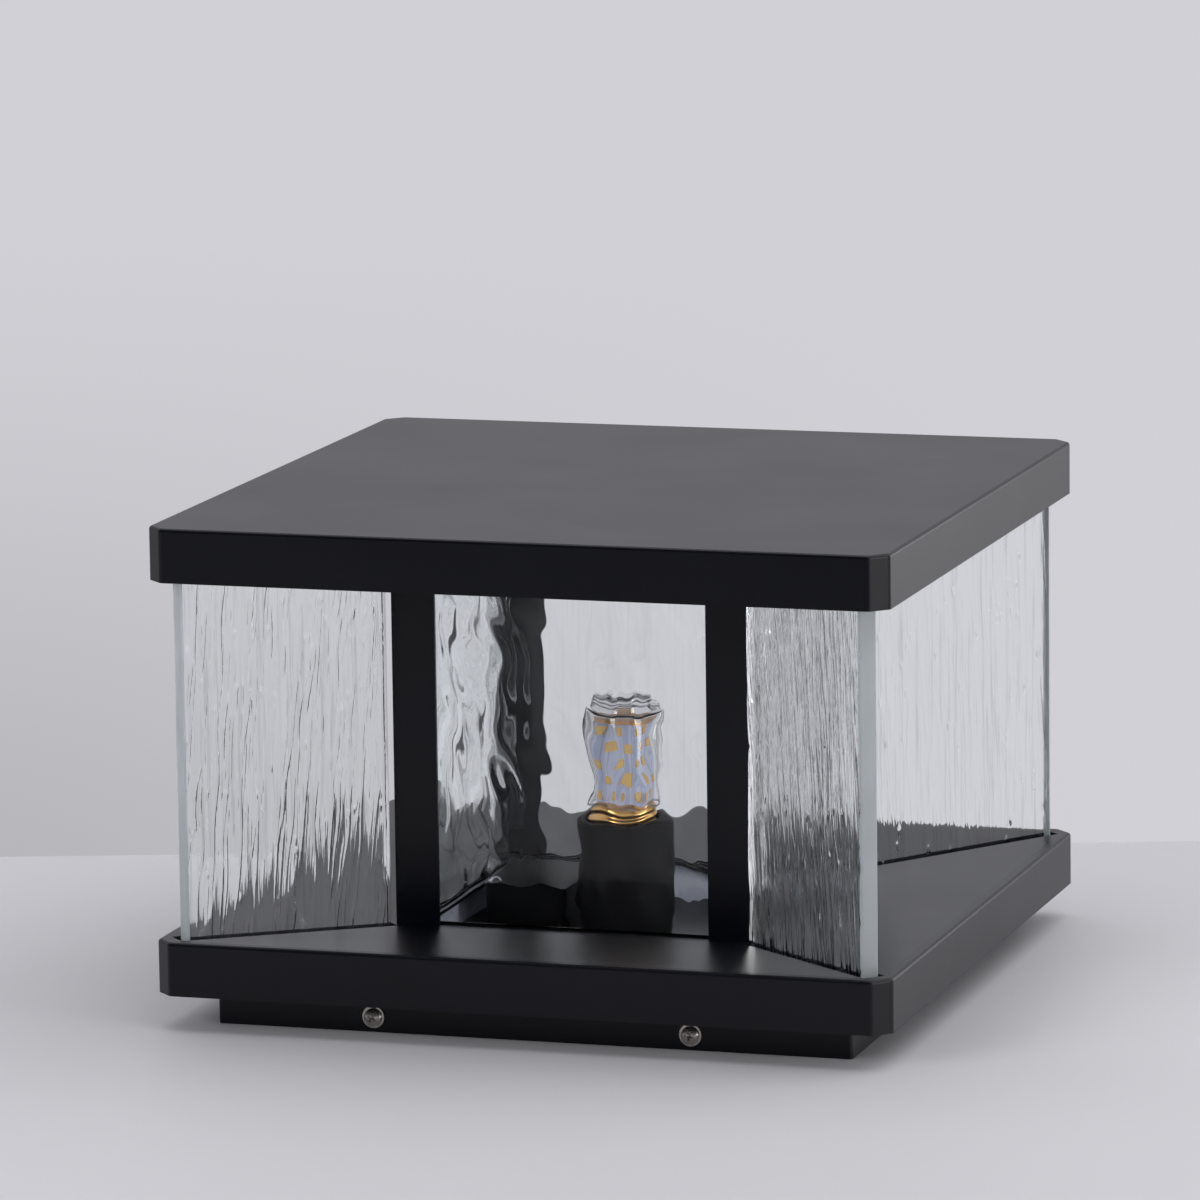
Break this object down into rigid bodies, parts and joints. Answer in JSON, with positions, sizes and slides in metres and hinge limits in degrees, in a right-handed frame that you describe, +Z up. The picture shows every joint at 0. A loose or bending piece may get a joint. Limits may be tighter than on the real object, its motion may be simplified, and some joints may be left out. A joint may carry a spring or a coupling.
{
  "type": "gate-post light",
  "caption": "Square outdoor light for a gate post: black sheet-metal base and lid, a box of rain glass round a bulb, and glass fins on the diagonals.",
  "frame": {"origin": "middle of the square face that stands on the gate post", "axes": "+Z up; -Y the front face, with two of the side screws; +X to the right seen from the front"},
  "size_m": [0.3, 0.3, 0.201],
  "materials": {
    "black_powder_coat": "satin powder coat, fine orange peel",
    "galvanised_steel": "galvanised sheet, faintly spangled",
    "stainless_steel": "rolled and turned, bright",
    "zinc_steel": "zinc plated",
    "black_steel": "blackened",
    "rain_glass": "clear, with a rain texture rolled into one face",
    "black_rubber": "matt",
    "black_plastic": "moulded, fine grain",
    "grey_plastic": "moulded",
    "brass": "drawn, bright",
    "solder": "dull tin",
    "clear_plastic": "clear moulded polycarbonate",
    "board_white": "white solder mask on circuit board",
    "plate_gold": "bronze tone",
    "phosphor_yellow": "silicone filled with phosphor"
  },
  "bodies": {
    "lantern": {"base_ring": "galvanised_steel", "base_tray": "black_powder_coat", "bottom_plate": "black_powder_coat", "bracket_nuts": "zinc_steel", "cable_gland": "black_plastic", "ceiling_plate": "black_powder_coat", "earth_nut": "brass", "earth_stud": "brass", "fin_back_left": "rain_glass", "fin_back_right": "rain_glass", "fin_front_left": "rain_glass", "fin_front_right": "rain_glass", "fin_seal_back_left": "black_rubber", "fin_seal_back_right": "black_rubber", "fin_seal_front_left": "black_rubber", "fin_seal_front_right": "black_rubber", "gland_nut": "black_plastic", "holder_contact": "brass", "holder_screws": "zinc_steel", "holder_shell": "brass", "lamp_holder": "black_plastic", "lid": "black_powder_coat", "lid_nuts": "zinc_steel", "lid_studs": "zinc_steel", "lower_pane_seal": "black_rubber", "mounting_skirt": "black_powder_coat", "pane_back": "rain_glass", "pane_front": "rain_glass", "pane_left": "rain_glass", "pane_right": "rain_glass", "post_back_left": "black_powder_coat", "post_back_right": "black_powder_coat", "post_bracket": "galvanised_steel", "post_front_left": "black_powder_coat", "post_front_right": "black_powder_coat", "ring_screws": "stainless_steel", "shoe_back_left": "galvanised_steel", "shoe_back_right": "galvanised_steel", "shoe_front_left": "galvanised_steel", "shoe_front_right": "galvanised_steel", "shoe_screws": "black_steel", "side_screws": "stainless_steel", "side_washers": "stainless_steel", "terminal_block": "grey_plastic", "terminal_box": "black_plastic", "terminal_cover": "black_plastic", "terminal_screws": "zinc_steel", "top_ring": "galvanised_steel", "upper_pane_seal": "black_rubber"},
    "bulb_rise": {"bulb_tip": "solder"},
    "bulb": {"bulb_cap": "brass", "bulb_insulator": "black_plastic", "bulb_core": "board_white", "led_chips": "phosphor_yellow", "core_plates": "plate_gold", "bulb_cover": "clear_plastic"}
  },
  "joints": [
    {"name": "bulb_rise", "type": "slide", "parent": "lantern", "child": "bulb_rise", "axis": [0, 0, 1], "range_m": [0, 0.0146]},
    {"name": "bulb_turn", "type": "hinge", "parent": "bulb_rise", "child": "bulb", "pos_m": [0, 0, 0.0595], "axis": [0, 0, 1], "range_deg": [0, 1440]}
  ],
  "couplings": [
    {"joint": "bulb_rise", "follows": "bulb_turn", "m_per_rad": 0.00057758}
  ]
}
